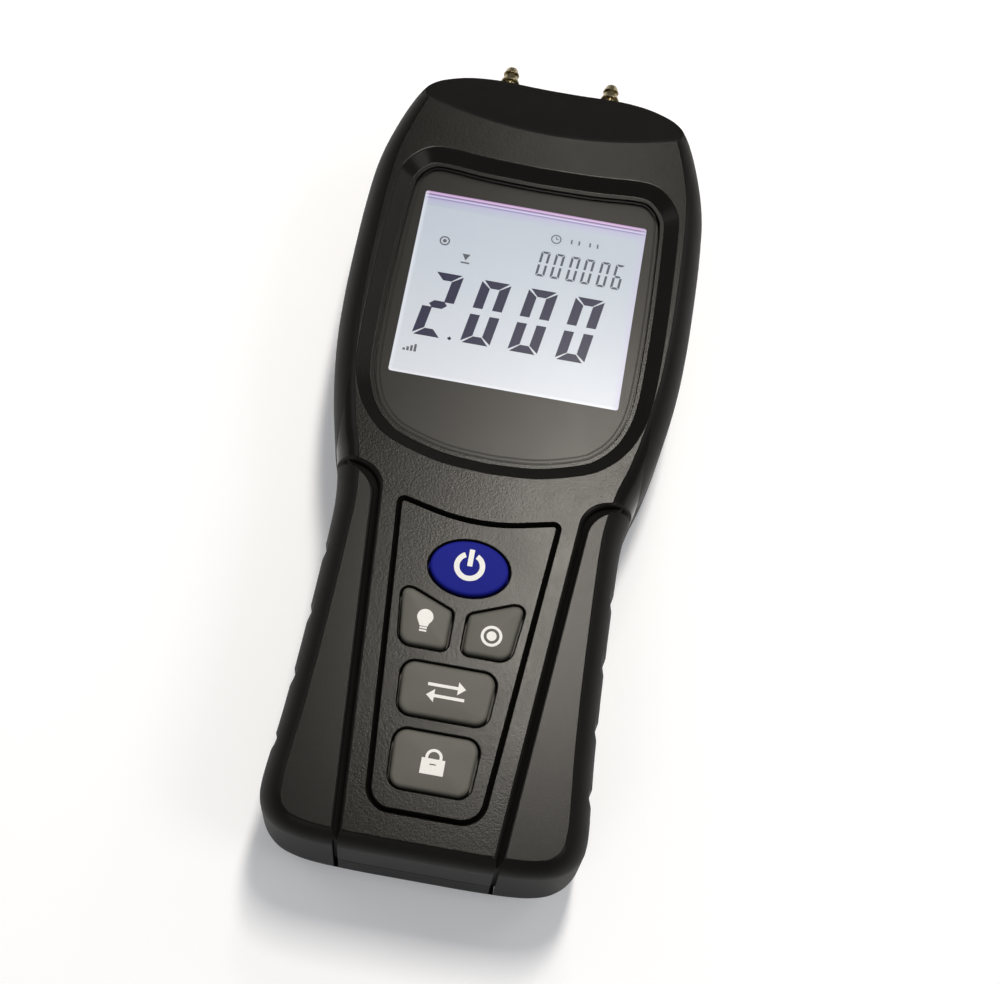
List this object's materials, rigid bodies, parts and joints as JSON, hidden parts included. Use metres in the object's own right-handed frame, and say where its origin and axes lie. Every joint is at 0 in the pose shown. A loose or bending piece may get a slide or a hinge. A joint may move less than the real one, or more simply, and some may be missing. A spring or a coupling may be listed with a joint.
{
  "type": "digital manometer",
  "caption": "Handheld gauge with a wide head, a dished display, a tapered keypad with an oval key, soft side grips and brass hose spigots in its sloped top end.",
  "frame": {"origin": "on the table under the middle of the whole outline, with the gauge lying on its back", "axes": "+Z out of the face, +Y along the body towards the hose spigots, +X to the right as the display is read"},
  "size_m": [0.072, 0.184, 0.0309],
  "materials": {
    "front_housing": "fine moulded texture, charcoal",
    "rear_housing": "fine moulded texture, charcoal",
    "grip": "soft overmould, charcoal",
    "battery_door": "fine moulded texture, charcoal",
    "screw": "zinc plated steel",
    "display_lens": "clear polished acrylic",
    "display_mask": "printed film, charcoal",
    "display_glass": "liquid crystal cell, backlit pale lavender",
    "white_plastic": "white moulded plastic",
    "contact_strips": "layered silicone",
    "backlight_panel": "light guide",
    "power_key": "satin blue moulded plastic",
    "grey_key": "satin grey moulded plastic",
    "key_mat": "translucent silicone",
    "key_pills": "carbon filled silicone",
    "circuit_board": "green solder mask",
    "black_part": "black moulded plastic",
    "pressure_sensor": "pale moulded plastic",
    "tube": "clear silicone",
    "brass": "turned brass",
    "battery": "printed steel can, no label",
    "red_lead": "red insulation",
    "black_lead": "black insulation"
  },
  "bodies": {
    "housing": {"front_housing": "front_housing", "rear_housing": "rear_housing", "left_grip": "grip", "right_grip": "grip", "housing_screws": "screw", "display_lens": "display_lens", "display_mask": "display_mask", "display_glass": "display_glass", "display_holder": "white_plastic", "contact_strips": "contact_strips", "backlight_panel": "backlight_panel", "key_mat": "key_mat", "key_pills": "key_pills", "circuit_board": "circuit_board", "board_screws": "screw", "processor_chip": "black_part", "buzzer": "black_part", "pressure_sensor": "pressure_sensor", "left_tube": "tube", "right_tube": "tube", "left_spigot": "brass", "right_spigot": "brass", "spigot_nuts": "brass", "battery": "battery", "battery_pad": "black_part", "battery_snap": "black_part", "red_lead": "red_lead", "black_lead": "black_lead"},
    "power_key": {"power_key": "power_key"},
    "lamp_key": {"lamp_key": "grey_key"},
    "record_key": {"record_key": "grey_key"},
    "units_key": {"units_key": "grey_key"},
    "hold_key": {"hold_key": "grey_key"},
    "battery_door": {"battery_door": "battery_door"}
  },
  "joints": [
    {"name": "power_key_press", "type": "slide", "parent": "housing", "child": "power_key", "axis": [0, 0, -1], "range_m": [0, 0.0008], "stiffness_N_per_m": 1500},
    {"name": "lamp_key_press", "type": "slide", "parent": "housing", "child": "lamp_key", "axis": [0, 0, -1], "range_m": [0, 0.0008], "stiffness_N_per_m": 1500},
    {"name": "record_key_press", "type": "slide", "parent": "housing", "child": "record_key", "axis": [0, 0, -1], "range_m": [0, 0.0008], "stiffness_N_per_m": 1500},
    {"name": "units_key_press", "type": "slide", "parent": "housing", "child": "units_key", "axis": [0, 0, -1], "range_m": [0, 0.0008], "stiffness_N_per_m": 1500},
    {"name": "hold_key_press", "type": "slide", "parent": "housing", "child": "hold_key", "axis": [0, 0, -1], "range_m": [0, 0.0008], "stiffness_N_per_m": 1500},
    {"name": "battery_door_slide", "type": "slide", "parent": "housing", "child": "battery_door", "axis": [0, -1, 0], "range_m": [0, 0.006]}
  ]
}
